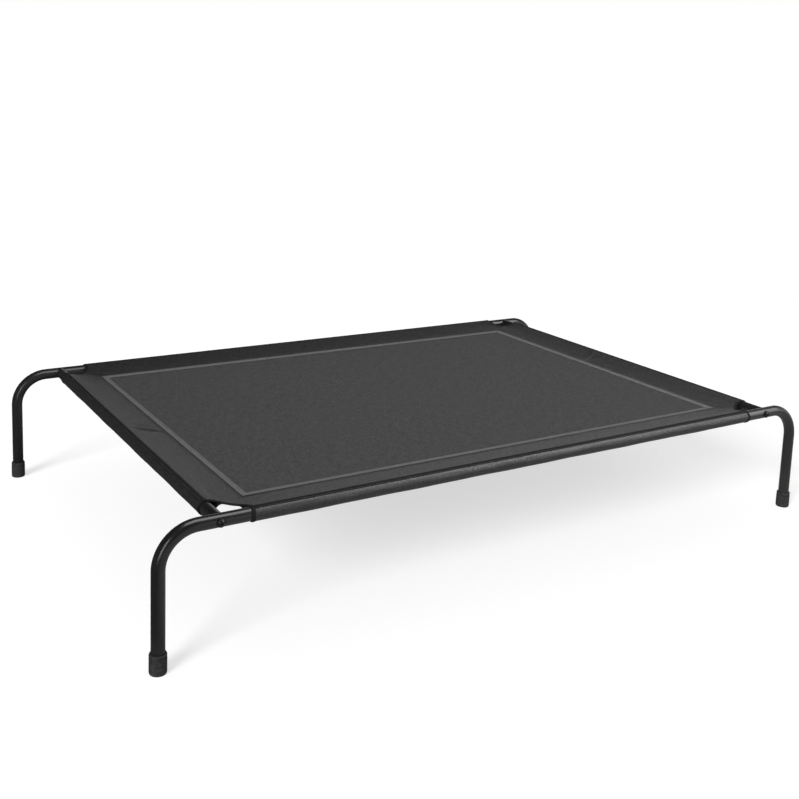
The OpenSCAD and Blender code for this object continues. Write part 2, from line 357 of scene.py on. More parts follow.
# Woven cloth: slubs between two tones, a painted highlight on the yarn crowns, painted shade in the gaps
# between the yarns, and a relief of weave and cockle
def clothMaterial(name, look):
    material, tree, shader = newMaterial(name, look["constants"])
    flat = addNode(tree, "ShaderNodeUVMap", uv_map="cloth").outputs[0]
    woven = useGroup(tree, weave, {"Vector": flat, "Warp Pitch": look["warp"], "Weft Pitch": look["weft"],
                                   "Opening": look["opening"]})
    soiled = useGroup(tree, dust, {"Vector": objectPlace(tree), "Amount": look["dust"]})
    slub = remap(tree, woven["Slub"], *noiseMiddle, 0, 1)
    yarn = blendColour(tree, slub, grey(look["dark"]), grey(look["light"]))
    # Painted highlight: the yarn crowns are drawn lighter, towards the crown tone, the higher they stand
    crown = remap(tree, woven["Height"], clothTones["crownFrom"], 1.0, 0, look["crown"])
    crownHighlighted = blendColour(tree, crown, yarn, grey(look["crownHighlight"]))
    # Painted shade: the gaps between yarns darkened towards a near black
    pitShade = calc(tree, "MULTIPLY", woven["PitShade"], look["pitShade"])
    pitShaded = blendColour(tree, pitShade, crownHighlighted, clothTones["pitShade"])
    dusty = blendColour(tree, soiled["Dust"], pitShaded, clothTones["dust"])
    rough = remap(tree, woven["Height"], 0.0, 1.0, look["roughPit"], look["roughCrown"])
    rough = calc(tree, "MULTIPLY_ADD", woven["Fleck"], look["fleck"], rough)
    relief = calc(tree, "MULTIPLY_ADD", woven["Cockle"], look["cockle"], woven["Height"])
    feed(tree, shader, Base_Color=dusty, Roughness=rough, Normal=bump(tree, relief, look["relief"]))
    return material


# In each look the pit share darkens the gaps between yarns as painted shade, and the crown share lightens the
# yarn crowns as a painted highlight
borderLook = {
    "constants": {"Specular IOR Level": 0.55},
    "warp": 0.85 * mm, "weft": 0.85 * mm, "opening": 0.22, "pitShade": 0.8, "crown": 0.5,
    "dark": 0.003, "light": 0.015, "crownHighlight": 0.021, "dust": 0.03,
    "roughPit": 0.60, "roughCrown": 0.42, "relief": 0.04 * mm, "cockle": 7.0, "fleck": 0.30,
}
# Open mesh: its holes are painted dark as shade, in place of the view through them
meshLook = {
    "constants": {"Specular IOR Level": 0.08},
    "warp": 1.45 * mm, "weft": 1.25 * mm, "opening": 0.34, "pitShade": 1.0, "crown": 0.5,
    "dark": 0.034, "light": 0.068, "crownHighlight": 0.090, "dust": 0.04,
    "roughPit": 0.7, "roughCrown": 0.48, "relief": 0.10 * mm, "cockle": 2.4, "fleck": 0.16,
}
tapeLook = {
    "constants": {"Specular IOR Level": 0.3},
    "warp": 0.9 * mm, "weft": 0.45 * mm, "opening": 0.2, "pitShade": 0.6, "crown": 0.4,
    "dark": 0.085, "light": 0.12, "crownHighlight": 0.14, "dust": 0.10,
    "roughPit": 0.8, "roughCrown": 0.55, "relief": 0.12 * mm, "cockle": 0.5, "fleck": 0.1,
}
bindingLook = {
    "constants": {"Specular IOR Level": 0.12},
    "warp": 1.6 * mm, "weft": 0.5 * mm, "opening": 0.2, "pitShade": 0.5, "crown": 0.3,
    "dark": 0.006, "light": 0.010, "crownHighlight": 0.013, "dust": 0.03,
    "roughPit": 0.9, "roughCrown": 0.75, "relief": 0.12 * mm, "cockle": 0.3, "fleck": 0.1,
}
borderCloth = clothMaterial("borderCloth", borderLook)
meshCloth = clothMaterial("meshCloth", meshLook)
tapeCloth = clothMaterial("tapeCloth", tapeLook)
bindingCloth = clothMaterial("bindingCloth", bindingLook)

# Sewing thread: fine plies, with painted shade in the hollows between them and a painted shine on their
# raised parts
threadLook = {
    "constants": {"Specular IOR Level": 0.4, "Sheen Weight": 0.2, "Roughness": 0.6},
    "pale": 0.085, "dark": 0.018, "shade": 0.6, "shine": 1.3, "ply": 2600.0, "relief": 0.05 * mm,
}


def threadMaterial(name, tone):
    look = threadLook
    material, tree, shader = newMaterial(name, look["constants"])
    ply = noise(tree, objectPlace(tree), look["ply"], 1.0)
    # Low parts of the ply noise get the painted shade, high parts the painted shine
    mask = remap(tree, ply, *noiseMost, 0, 1)
    colour = blendColour(tree, mask, grey(tone * look["shade"]), grey(tone * look["shine"]))
    feed(tree, shader, Base_Color=colour, Normal=bump(tree, ply, look["relief"]))
    return material


paleThread = threadMaterial("paleThread", threadLook["pale"])
darkThread = threadMaterial("darkThread", threadLook["dark"])

# Black powder coat on the tubes, duller and without its clear skin where it is dusty
tubeLook = {
    "constants": {"Specular IOR Level": 0.5, "Coat Roughness": 0.12},
    "dark": 0.006, "light": 0.010, "dust": 0.08, "dustTone": grey(0.12, 0.03),
    "smooth": 0.16, "rough": 0.26, "grain": 0.12, "skin": 0.08, "skinGone": 0.05,
    "cell": 620.0, "relief": 0.03 * mm,
}


def tubeMaterial(look):
    material, tree, shader = newMaterial("tubeCoat", look["constants"])
    place = objectPlace(tree)
    peel = useGroup(tree, coat, {"Vector": place, "Cell": look["cell"]})
    soiled = useGroup(tree, dust, {"Vector": place, "Amount": look["dust"]})
    mask = remap(tree, soiled["Cloud"], *noiseMost, 0, 1)
    base = blendColour(tree, mask, grey(look["dark"]), grey(look["light"]))
    colour = blendColour(tree, soiled["Dust"], base, look["dustTone"])
    worn = remap(tree, soiled["Cloud"], *noiseWide, look["smooth"], look["rough"])
    rough = calc(tree, "MULTIPLY_ADD", peel["Grain"], look["grain"], worn)
    skin = remap(tree, soiled["Dust"], 0.0, look["skinGone"], look["skin"], 0.0)
    feed(tree, shader, Base_Color=colour, Roughness=rough, Coat_Weight=skin,
         Normal=bump(tree, peel["Height"], look["relief"]))
    return material


# Moulded rubber with a pebbled face whose raised pebbles are painted lighter as a highlight, dusty round the
# sole
rubberLook = {
    "constants": {"Specular IOR Level": 0.2},
    "dark": 0.006, "light": 0.038, "dust": 0.15, "dustTone": grey(0.10, 0.05),
    "sole": 6 * mm, "soleDust": 0.10, "smooth": 0.58, "rough": 0.78,
    "cell": 650.0, "pebbleHighlight": (0.4, 0.75), "relief": 0.14 * mm,
}


def rubberMaterial(look):
    material, tree, shader = newMaterial("capRubber", look["constants"])
    place = objectPlace(tree)
    peel = useGroup(tree, coat, {"Vector": place, "Cell": look["cell"]})
    soiled = useGroup(tree, dust, {"Vector": place, "Amount": look["dust"]})
    height = addNode(tree, "ShaderNodeSeparateXYZ", {0: place}).outputs["Z"]
    low = remap(tree, height, soleZ, soleZ + look["sole"], look["soleDust"], 0.0, smooth=True)
    scuff = calc(tree, "ADD", calc(tree, "MULTIPLY", low, soiled["Cloud"]), soiled["Dust"], clamp=True)
    # Painted highlight: the raised pebbles take the light tone, the low parts the dark one
    mask = remap(tree, peel["Height"], *look["pebbleHighlight"], 0, 1)
    base = blendColour(tree, mask, grey(look["dark"]), grey(look["light"]))
    colour = blendColour(tree, scuff, base, look["dustTone"])
    rough = remap(tree, peel["Grain"], *noiseWide, look["smooth"], look["rough"])
    feed(tree, shader, Base_Color=colour, Roughness=rough, Normal=bump(tree, peel["Height"], look["relief"]))
    return material


# Black oxide on bolts, matte black on washers and bright zinc on the inserts
boltLook = {
    "constants": {"Metallic": 0.7, "Specular IOR Level": 0.4},
    "dark": 0.012, "light": 0.030, "dust": 0.1, "dustTone": grey(0.15, 0.03),
    "smooth": 0.22, "rough": 0.38, "cell": 1500.0, "relief": 0.02 * mm,
}
washerLook = {
    "constants": {"Specular IOR Level": 0.25},
    "dark": 0.004, "light": 0.008, "dust": 0.1, "dustTone": grey(0.15, 0.03),
    "smooth": 0.45, "rough": 0.6, "cell": 1200.0, "relief": 0.03 * mm,
}
insertLook = {
    "constants": {"Metallic": 1.0},
    "dark": 0.38, "light": 0.52, "dust": 0.3, "dustTone": grey(0.15, 0.03),
    "smooth": 0.28, "rough": 0.45, "cell": 1400.0, "relief": 0.02 * mm,
}


def hardwareMaterial(name, look):
    material, tree, shader = newMaterial(name, look["constants"])
    place = objectPlace(tree)
    peel = useGroup(tree, coat, {"Vector": place, "Cell": look["cell"]})
    soiled = useGroup(tree, dust, {"Vector": place, "Amount": look["dust"]})
    mask = remap(tree, peel["Grain"], *noiseMost, 0, 1)
    base = blendColour(tree, mask, grey(look["dark"]), grey(look["light"]))
    colour = blendColour(tree, soiled["Dust"], base, look["dustTone"])
    rough = remap(tree, peel["Grain"], *noiseWide, look["smooth"], look["rough"])
    feed(tree, shader, Base_Color=colour, Roughness=rough, Normal=bump(tree, peel["Height"], look["relief"]))
    return material


# Finishes by the start of a node's name, the longest that fits
tubeCoat = tubeMaterial(tubeLook)
finishes = {
    "leg": tubeCoat,
    "rail": tubeCoat,
    "foot_cap": rubberMaterial(rubberLook),
    "corner_bolt": hardwareMaterial("boltBlack", boltLook),
    "saddle_washer": hardwareMaterial("washerBlack", washerLook),
    "rail_insert": hardwareMaterial("insertZinc", insertLook),
}
for nodeName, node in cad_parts.items():
    starts = [start for start in finishes if nodeName.startswith(start + "_")]
    if starts:
        node.data.materials.clear()
        node.data.materials.append(finishes[max(starts, key=len)])
print("materials:", len(bpy.data.materials))

# Border: top cloth falls from the rail's crest to the hem, underside is drawn in to a sewn neck
border = {
    "thick": 0.5 * mm,
    "level": 0.25 * mm,                     # top of the pressed hem over the rail's axis
    "hem": 56 * mm,                         # where the top cloth meets the flat hem
    "hemRound": 1 * mm,                     # rounding of the bend there
    "neck": 24 * mm,                        # where the under cloth meets the hem
    "sag": 0.7 * mm,                        # hollow of the top cloth between crest and hem
    "mitre": 5 * mm,                        # rounding of the valley where two sides meet
    "dip": 0.8 * mm,                        # how far the cloth drops towards a corner cut-out
    "dipReach": 42 * mm,
    "dipFrom": (5 * mm, 26 * mm),           # distances from the rail over which the dip sets in
    "pinch": 1.3 * mm,                      # distance of the two cloths where the cut-out is bound
    "pinchReach": 24 * mm,
    "pinchFrom": (9 * mm, 24 * mm),
    "pucker": 0.12 * mm,                    # gathers along the seam tape
    "puckerPitch": (13 * mm, 47 * mm),
    "puckerReach": 7 * mm,
    "ripple": 0.22 * mm,                    # slack in the sleeve's outer face
    "ripplePitch": (190 * mm, 83 * mm),
    "rippleShare": 0.6,                     # of the shorter ripple
    "rippleStart": (2.3, 3.0),              # angles round the rail over which the slack sets in
    "rippleEnd": (4.3, 5.1),
    "crowding": 0.38,                       # how much closer the columns stand at the ends
    "steps": {"hem": 7, "fall": 30, "arc": 46, "neck": 8, "low": 18},
    "columns": {"front": 280, "right": 400, "rear": 280, "left": 400},
}


# Angle at which cloth from the point (u, w) touches the sleeve's circle
def tangentAngle(u, w):
    return math.acos(sleeveRadius / math.hypot(u, w)) + math.atan2(w, u)


topAngle = tangentAngle(border["hem"], border["level"])
underAngle = tangentAngle(border["neck"], hemTop)
crestU = sleeveRadius * math.cos(topAngle)
fallSlope = (sleeveRadius * math.sin(topAngle) - border["level"]) / (border["hem"] - crestU)
underU = sleeveRadius * math.cos(underAngle)
underSlope = (sleeveRadius * math.sin(underAngle) - hemTop) / (border["neck"] - underU)


# Soft minimum of the distances u and b from the two rails of a corner
def nearestRail(u, b):
    soft = border["mitre"]
    return np.minimum(u, b) - soft * np.log1p(np.exp(-np.abs(u - b) / soft))


# Bell curve of the distance from a corner's cut-out
def nearCut(u, b, reach):
    return np.exp(-((np.hypot(u, b) - cutRadius) / reach) ** 2)


# Height of the top cloth: a straight fall to the hem over the distance to the nearest rail, less
# a shallow hollow and a dip at the cut-out
def topHeight(u, b):
    least = nearestRail(u, b)
    soft = border["hemRound"]
    above = soft * np.logaddexp(0, (border["hem"] - least) / soft)
    share = np.clip((least - crestU) / (border["hem"] - crestU), 0, 1)
    hollow = 4 * border["sag"] * share * (1 - share)
    dip = border["dip"] * nearCut(u, b, border["dipReach"]) * ease(least, *border["dipFrom"])
    return border["level"] + fallSlope * above - hollow - dip


# Height of the under cloth: a fall to the flat, raised to the top cloth where the cut-out is bound
def lowHeight(u, b):
    flat = -hemTop - underSlope * np.maximum(border["neck"] - u, 0)
    near = nearCut(u, b, border["pinchReach"]) * ease(nearestRail(u, b), *border["pinchFrom"])
    return flat + near * np.maximum(topHeight(u, b) - border["pinch"] - flat, 0)


# Half length of a side's cloth at u: stops at the round cut-out, then at the mitre
def sideEnd(u, half, radius):
    return half - np.maximum(np.sqrt(np.maximum(radius ** 2 - u ** 2, 0)), u)


# Steps from -1 to 1, drawn closer together near both ends by a share of a sine
def endSteps(count):
    s = np.linspace(-1, 1, count)
    return (1 - border["crowding"]) * s + border["crowding"] * np.sin(s * math.pi / 2)


# Fold marks left by packing: a slanted ridge across each short border, with two hollows that lean
# differently and run out at their ends
creases = {
    "right": {"at": 39 * mm, "slant": -0.45, "depth": 2.4},
    "left": {"at": 1 * mm, "slant": 0.3, "depth": 1.5},
    "folds": [
        {"shift": 0, "lean": 1.0, "height": 0.5 * mm, "width": 5 * mm, "run": (4 * mm, 56 * mm)},
        {"shift": -9 * mm, "lean": 0.5, "height": -0.8 * mm, "width": 5 * mm, "run": (12 * mm, 48 * mm)},
        {"shift": 12 * mm, "lean": 1.4, "height": -1.1 * mm, "width": 6 * mm, "run": (4 * mm, 56 * mm)},
    ],
    "fade": 18 * mm,
    "crisp": 1.5 * mm,          # rounding of a fold's line
}


# Each fold falls away exponentially either side of its line, which is rounded a little, and is
# eased in and out along it
def packCrease(name, t, u):
    mark, crease, fade, crisp = 0, creases[name], creases["fade"], creases["crisp"]
    for fold in creases["folds"]:
        start, end = fold["run"]
        across = t - crease["at"] - fold["shift"] - crease["slant"] * fold["lean"] * (u - border["neck"])
        window = ease(u, start, start + fade) * (1 - ease(u, end - fade, end))
        mark = mark + fold["height"] * window * np.exp((crisp - np.hypot(across, crisp)) / fold["width"])
    return crease["depth"] * mark


# Tension lines that fan out from a corner's cut-out: product of two sines of the angle, eased in past
# the cut-out and the rail, and out again with the distance and at the hem
pull = {
    "height": 0.5 * mm,
    "spokes": (17, 5),
    "phase": (0.6, 1.1),
    "start": (8 * mm, 26 * mm),         # past the cut-out
    "end": (90 * mm, 190 * mm),         # from the rails' crossing
    "rail": (8 * mm, 20 * mm),
    "hem": (46 * mm, 58 * mm),
}


def cornerPull(u, b):
    rho, turn = np.hypot(u, b), np.arctan2(u, b)
    fan = 1
    for spokes, phase in zip(pull["spokes"], pull["phase"]):
        fan = fan * np.sin(spokes * turn + phase)
    reach = ease(rho - cutRadius, *pull["start"]) * (1 - ease(rho, *pull["end"]))
    clear = ease(np.minimum(u, b), *pull["rail"]) * (1 - ease(u, *pull["hem"]))
    return pull["height"] * fan * reach * clear


# Section of a sleeve from the top inner edge over the rail to the lower inner edge: hem, fall,
# arc, neck and lower flat
def sleeveSection():
    steps = border["steps"]
    hemRun = np.linspace(borderEdge, border["hem"], steps["hem"])[:-1]
    fall = np.linspace(border["hem"], crestU, steps["fall"])[:-1]
    turn = np.linspace(topAngle, 2 * math.pi - underAngle, steps["arc"])
    neckRun = np.linspace(underU, border["neck"], steps["neck"])[1:]
    lowRun = np.linspace(border["neck"], borderEdge, steps["low"])[1:]
    u = np.concatenate([hemRun, fall, sleeveRadius * np.cos(turn), neckRun, lowRun])
    angle = np.concatenate([hemRun * 0, fall * 0, turn, neckRun * 0, lowRun * 0])
    index = np.arange(len(u))
    top = index < len(hemRun) + len(fall)
    low = index >= len(hemRun) + len(fall) + len(turn)
    return u, angle, top, low


# The section carried along the rail, each of its points to its own end at the cut-out or the mitre,
# with heights by place and small waves for gathers and slack
def makeSleeve(side):
    half, name = sideSizes(side)[1], sides[side]
    u, angle, top, low = sleeveSection()
    ends = sideEnd(u, half, cutRadius)
    columns = border["columns"][name]
    t = ends[:, None] * endSteps(columns)[None, :]
    u2 = np.repeat(u[:, None], columns, axis=1)
    fromEnd = half - np.abs(t)
    w2 = np.repeat(sleeveRadius * np.sin(angle)[:, None], columns, axis=1)
    w2[top] = topHeight(u2[top], fromEnd[top])
    w2[low] = lowHeight(u2[low], fromEnd[low])
    shortPitch, longPitch = border["puckerPitch"]
    gather = wave(t, shortPitch, side) * wave(t, longPitch, 2 * side)
    near = np.exp(-np.abs(u2 - tapeEdge) / border["puckerReach"])
    w2[top] += (border["pucker"] * gather * near)[top]
    w2[top] += cornerPull(u2, fromEnd)[top]
    if name in creases:
        w2[top] += packCrease(name, t, u2)[top]
    # Slack in the outer face, fading to nothing at the crest and under the neck
    turned = angle[:, None]
    longPitch, shortPitch = border["ripplePitch"]
    slack = wave(t, longPitch, 2 * turned + side) + border["rippleShare"] * wave(t, shortPitch, -3 * turned)
    outer = ease(turned, *border["rippleStart"]) * (1 - ease(turned, *border["rippleEnd"]))
    u2 = u2 + border["ripple"] * slack * outer * np.cos(turned)
    w2 = w2 + border["ripple"] * slack * outer * np.sin(turned)
    points = onSide(side, t, u2, w2)
    middle = columns // 2
    run = np.concatenate([[0], np.cumsum(np.hypot(np.diff(u2[:, middle]), np.diff(w2[:, middle])))])
    uv = np.stack([t, np.repeat(run[:, None], columns, axis=1)], axis=-1)
    cloth = [slab(points, border["thick"], uv)]
    piece = makePiece("border_sleeve_" + name, cloth, borderCloth, ["sleeve_" + name])
    area = float((np.diff(run) * (ends[1:] + ends[:-1])).sum())
    return piece, (float(run[-1]), float(2 * ends.max())), area


# Mesh panel: a shallow bowl, product of two parabolas, over a flat lap under the border
panel = {
    "thick": 0.8 * mm, "rows": 190, "columns": 134,
    "sag": 2.6 * mm,
    "fullness": 0.8,                    # power that flattens the bowl's middle
    "sagEdge": 60 * mm,                 # distance over which the bowl leaves the border
    "wave": 0.12 * mm,                  # unevenness of the stretch
    "waveLength": (31 * mm, 43 * mm),   # per radian, along and across
    "waveLean": 2.0,
    "waveEdge": 40 * mm,
}


def makePanel():
    halfX, halfY = meshHigh[0], meshHigh[1]
    along = np.linspace(-halfX, halfX, panel["rows"])
    across = np.linspace(-halfY, halfY, panel["columns"])
    x, y = np.meshgrid(along, across, indexing="ij")
    lap = borderEdge - (cornerX - halfX)
    edge = np.minimum(halfX - np.abs(x), halfY - np.abs(y))
    bowl = (1 - (x / (halfX - lap)) ** 2) * (1 - (y / (halfY - lap)) ** 2)
    full = np.clip(bowl, 0, 1) ** panel["fullness"]
    drop = panel["sag"] * full * ease(edge, lap, lap + panel["sagEdge"])
    lengthX, lengthY = panel["waveLength"]
    uneven = np.sin(x / lengthX + panel["waveLean"] * y) * np.sin(y / lengthY)
    lift = panel["wave"] * uneven * ease(edge, lap, lap + panel["waveEdge"])
    points = np.stack([x, y, meshHigh[2] - drop + lift], axis=-1)
    uv = np.stack([x, y], axis=-1)
    cloth = [slab(points, panel["thick"], uv)]
    piece = makePiece("sling_mesh", cloth, meshCloth, ["mesh_panel"])
    return piece, (2 * halfX, 2 * halfY)


# Seam tape: a strip with a rolled outer edge, flat on the hem and carried down over the hem's edge
# to the mesh, mitred at the corners
tape = {
    "thick": 0.35 * mm, "rows": 19, "columns": 200,
    "rise": 0.4 * mm,                   # over the hem
    "roll": 1.0 * mm,                   # width of the rolled edge
    "rollDrop": 0.25 * mm,
    "lap": 2.6 * mm,                    # onto the mesh
    "lapStart": 0.8 * mm,               # before the hem's edge
    "lapRise": 0.25 * mm,               # over the mesh
    "gather": 0.04 * mm,
    "gatherPitch": 6.5 * mm,
}


def makeTape(side):
    half, name = sideSizes(side)[1], sides[side]
    u = np.linspace(tapeEdge, borderEdge + tape["lap"], tape["rows"])
    meshTop = meshHigh[2] - axisZ
    top = border["level"] + tape["rise"]
    outer = 1 - np.clip((u - tapeEdge) / tape["roll"], 0, 1)
    inner = ease(u, borderEdge - tape["lapStart"], borderEdge + tape["lap"])
    w = top - tape["rollDrop"] * outer ** 2 - (top - meshTop - tape["lapRise"]) * inner
    t = (half - u)[:, None] * endSteps(tape["columns"])[None, :]
    gather = tape["gather"] * wave(t, tape["gatherPitch"]) * (outer + inner)[:, None]
    points = onSide(side, t, u[:, None], w[:, None] + gather)
    uv = np.stack([t, np.repeat((u - tapeEdge)[:, None], tape["columns"], axis=1)], axis=-1)
    strip = [slab(points, tape["thick"], uv)]
    return makePiece("hem_tape_" + name, strip, tapeCloth, ["seam_tape_" + name])


# Crest tape: a dark flat strip sewn along the rail's crest, over the seam of border and sleeve, an arc
# whose radius drops at both edges
crest = {
    "inner": math.radians(80), "outer": math.radians(124), "thick": 0.45 * mm, "rows": 13, "columns": 120,
    "edgeDrop": 0.25 * mm,
    "edgePower": 6,
    "endGap": 3 * mm,                   # to the end of the cloth
}


def makeCrestTape(side):
    half = sideSizes(side)[1]
    turn = np.linspace(crest["inner"], crest["outer"], crest["rows"])
    edge = np.abs(np.linspace(-1, 1, crest["rows"])) ** crest["edgePower"]
    radius = sleeveRadius + crest["thick"] - crest["edgeDrop"] * edge
    u, w = radius * np.cos(turn), radius * np.sin(turn)
    ends = sideEnd(u, half, cutRadius + crest["endGap"])
    t = ends[:, None] * endSteps(crest["columns"])[None, :]
    points = onSide(side, t, u[:, None], w[:, None])
    uv = np.stack([t, np.repeat((turn * sleeveRadius)[:, None], crest["columns"], axis=1)], axis=-1)
    strip = [slab(points, crest["thick"], uv)]
    return makePiece("crest_tape_" + sides[side], strip, bindingCloth)


# Corner binding: a folded tape whose section is carried round the mouth of both sleeves and along
# the cut-out, on top and underneath, as one closed loop
binding = {
    "width": 4.2 * mm, "thick": 0.6 * mm, "fold": 0.7 * mm,
    "round": 0.4 * mm,                  # of the tape's outer edge
    "sink": (0.3 * mm, 0.5 * mm, 0.75 * mm, 0.9 * mm),      # depths of the inner layer under the cloth's face
    "steps": {"top": 26, "arc": 40, "low": 16},
    "crown": 3,                         # point of the section that the map's length is measured on
}


# Section of the tape: plan radius past the cut, and height over the cloth
def bindingSection():
    wide, thick, fold = binding["width"], binding["thick"], binding["fold"]
    shallow, middle, deep, deepest = binding["sink"]
    over = [(wide, 0.6 * thick), (wide - binding["round"], 0.95 * thick), (0.55 * wide, 1.05 * thick),
            (0.15 * wide, thick), (-0.5 * fold, 0.75 * thick), (-fold, thick / 6)]
    under = [(-fold, -middle), (-0.6 * fold, -deepest), (0.3 * wide, -deep), (0.7 * wide, -middle)]
    return [(wide, -shallow)] + over + under


# One side's share of the loop at plan radius rho: top cloth, arc and under cloth
def bindingLine(rho, lift, half):
    reach, steps = rho / math.sqrt(2), binding["steps"]
    topU = np.linspace(reach, crestU, steps["top"])[:-1]
    turn = np.linspace(topAngle, 2 * math.pi - underAngle, steps["arc"])
    lowU = np.linspace(underU, reach, steps["low"])[1:]
    radius = sleeveRadius + lift
    u = np.concatenate([topU, radius * np.cos(turn), lowU])
    b = np.sqrt(np.maximum(rho ** 2 - u ** 2, 0))
    topW = topHeight(topU, b[:len(topU)]) + lift
    lowW = lowHeight(lowU, b[-len(lowU):]) - lift
    w = np.concatenate([topW, radius * np.sin(turn), lowW])
    return np.stack([half - b, u, w], axis=-1)


# The section's points carried round the long side and back along the short one, turned to the corner
def makeBinding(name):
    section = bindingSection()
    rings = []
    for past, lift in section:
        long = bindingLine(cutRadius + past, lift, cornerX)
        short = bindingLine(cutRadius + past, lift, cornerY)[::-1]
        first = np.stack([long[:, 0], cornerY - long[:, 1], axisZ + long[:, 2]], axis=-1)
        second = np.stack([cornerX - short[:, 1], short[:, 0], axisZ + short[:, 2]], axis=-1)
        rings.append(np.concatenate([first, second[1:-1]]))
    signX, signY = corners[name]
    points = np.stack(rings) * np.array([signX, signY, 1])
    rows, columns = points.shape[:2]
    along = runLength(points[binding["crown"]])
    past = np.array([row[0] for row in section])
    uv = np.stack(np.broadcast_arrays(along[None, :], past[:, None]), axis=-1)
    part = (points.reshape(-1, 3), gridQuads(rows, columns, True, True), uv.reshape(-1, 2))
    return makePiece("corner_tape_" + name, [part], bindingCloth, ["corner_binding_" + name])


# Stitch: a five-sided spindle, thick in the middle, whose ends dive into the cloth
stitch = {"pitch": 3.4 * mm, "length": 2.7 * mm, "width": 0.62 * mm, "height": 0.34 * mm, "dive": 0.2 * mm,
          "spokes": 5, "samples": 400}


# One spindle repeated at even steps along a line, each turned to the line and its normal
def stitchRow(line, normal):
    step = runLength(line)

    def sample(values, where):
        return np.stack([np.interp(where, step, values[:, k]) for k in range(3)], axis=-1)

    at = np.arange(stitch["pitch"] / 2, step[-1], stitch["pitch"])
    up = sample(normal, at)
    tangent = sample(line, at + stitch["pitch"] / 3) - sample(line, at - stitch["pitch"] / 3)
    tangent /= np.linalg.norm(tangent, axis=-1, keepdims=True)
    side = np.cross(up, tangent)
    side /= np.linalg.norm(side, axis=-1, keepdims=True)
    spokes = stitch["spokes"]
    k = np.arange(spokes)
    turn = k * 2 * math.pi / spokes
    wide, high = np.cos(turn) * stitch["width"] / 2, np.sin(turn) * stitch["height"] / 2
    ring = np.stack([turn * 0, wide, high], axis=-1)
    quarter = np.array([stitch["length"] / 4, 0, 0])
    tip = np.array([[stitch["length"] / 2, 0, -stitch["dive"]]])
    shape = np.concatenate([tip * [-1, 1, 1], ring - quarter, ring + quarter, tip])
    basis = np.stack([tangent, side, up], axis=1)
    points = sample(line, at)[:, None, :] + np.einsum("kc,ncd->nkd", shape, basis)
    first, firstNext = 1 + k, 1 + (k + 1) % spokes
    second, secondNext = first + spokes, firstNext + spokes
    last = k * 0 + 1 + 2 * spokes
    faces = np.concatenate([
        np.stack([k * 0, firstNext, first], axis=-1),
        np.stack([first, firstNext, secondNext], axis=-1),
        np.stack([first, secondNext, second], axis=-1),
        np.stack([second, secondNext, last], axis=-1),
    ])
    faces = (faces[None] + (np.arange(len(at)) * len(shape))[:, None, None]).reshape(-1, 3)
    points = points.reshape(-1, 3)
    return points, faces, points[:, :2]


# A straight row on a side at u, w, between its two ends
def sideRow(side, end, u, w, normal):
    t = np.linspace(-end, end, stitch["samples"])
    line = onSide(side, t, u, w)
    lean = onSide(side, t * 0, u + normal[0], w + normal[1]) - onSide(side, t * 0, u, w)
    return stitchRow(line, lean)


hemRows = {"inset": 1.4 * mm, "proud": 0.04 * mm, "endGap": 1 * mm}


# Two rows along the edges of the seam tape, seen on top and under the mesh
def makeHemStitches(side):
    half = sideSizes(side)[1]
    top = border["level"] + tape["rise"] + hemRows["proud"]
    rows = []
    for u in (tapeEdge + hemRows["inset"], borderEdge - hemRows["inset"]):
        end = half - u - hemRows["endGap"]
        rows.append(sideRow(side, end, u, top, (0, 1)))
        rows.append(sideRow(side, end, u, meshLow[2] - axisZ, (0, -1)))
    return makePiece("hem_stitches_" + sides[side], rows, paleThread)


sleeveRows = {
    "inset": 0.14, "proud": 0.02 * mm, "endGap": 7 * mm,                    # crest tape, inset as an angle
    "neckInset": 3 * mm, "neckProud": 0.05 * mm, "neckEndGap": 6 * mm,      # under the sleeve's neck
}


# Two rows along the edges of the crest tape, and one that closes the sleeve under its neck
def makeSleeveStitches(side):
    free = sideSizes(side)[1] - cutRadius
    radius = sleeveRadius + crest["thick"] + sleeveRows["proud"]
    rows = []
    for angle in (crest["inner"] + sleeveRows["inset"], crest["outer"] - sleeveRows["inset"]):
        lean = (math.cos(angle), math.sin(angle))
        rows.append(sideRow(side, free - sleeveRows["endGap"], radius * lean[0], radius * lean[1], lean))
    u, w = border["neck"] + sleeveRows["neckInset"], -hemTop - sleeveRows["neckProud"]
    rows.append(sideRow(side, free - sleeveRows["neckEndGap"], u, w, (0, -1)))
    return makePiece("sleeve_stitches_" + sides[side], rows, darkThread)


sleeves = []
for side in range(len(sides)):
    piece, flat, area = makeSleeve(side)
    trims = [makeTape(side), makeCrestTape(side), makeHemStitches(side), makeSleeveStitches(side)]
    sleeves.append((piece, flat, area, trims))
print("border:", len(sleeves), "sides")
slingMesh, meshFlat = makePanel()
bindings = {name: makeBinding(name) for name in corners}
print("bindings:", len(bindings))

for side, (piece, flat, area, trims) in enumerate(sleeves):
    name = sides[side]
    if name in ("front", "rear"):
        trims = trims + [bindings[name + "_left"], bindings[name + "_right"]]

# Studio: pale floor, plain room, one soft key and white cards
studio = {
    "floorSize": 14.0, "floorPoints": 9, "floorGap": 0.2 * mm, "floorTone": 0.8,
    "shadowDepth": 0.43,                # share of the floor's white that a shadow takes away
    "shadowLift": 0.63,                 # glow that stays in the shadow
    "floorFade": (0.95, 1.8),           # distances over which the floor turns to plain white
    "floorSlant": -0.35,                # how far the floor's dim side reaches round behind
    "floorDim": (-0.62, -0.22), "leftFloor": 0.08, "rightFloor": 0.48,      # as reflections find it
    "ambient": 0.42,
    "wallTurn": (-0.05, 0.52), "leftWall": 0.05, "wall": 0.74,              # from left to right
    "ceilingRise": (0.21, 0.43), "ceiling": 0.09,
}


def emission(tree, strength):
    return addNode(tree, "ShaderNodeEmission", {"Color": grey(1.0), "Strength": strength}).outputs[0]


def diffuse(tree, tone):
    return addNode(tree, "ShaderNodeBsdfDiffuse", {"Color": grey(tone)}).outputs[0]


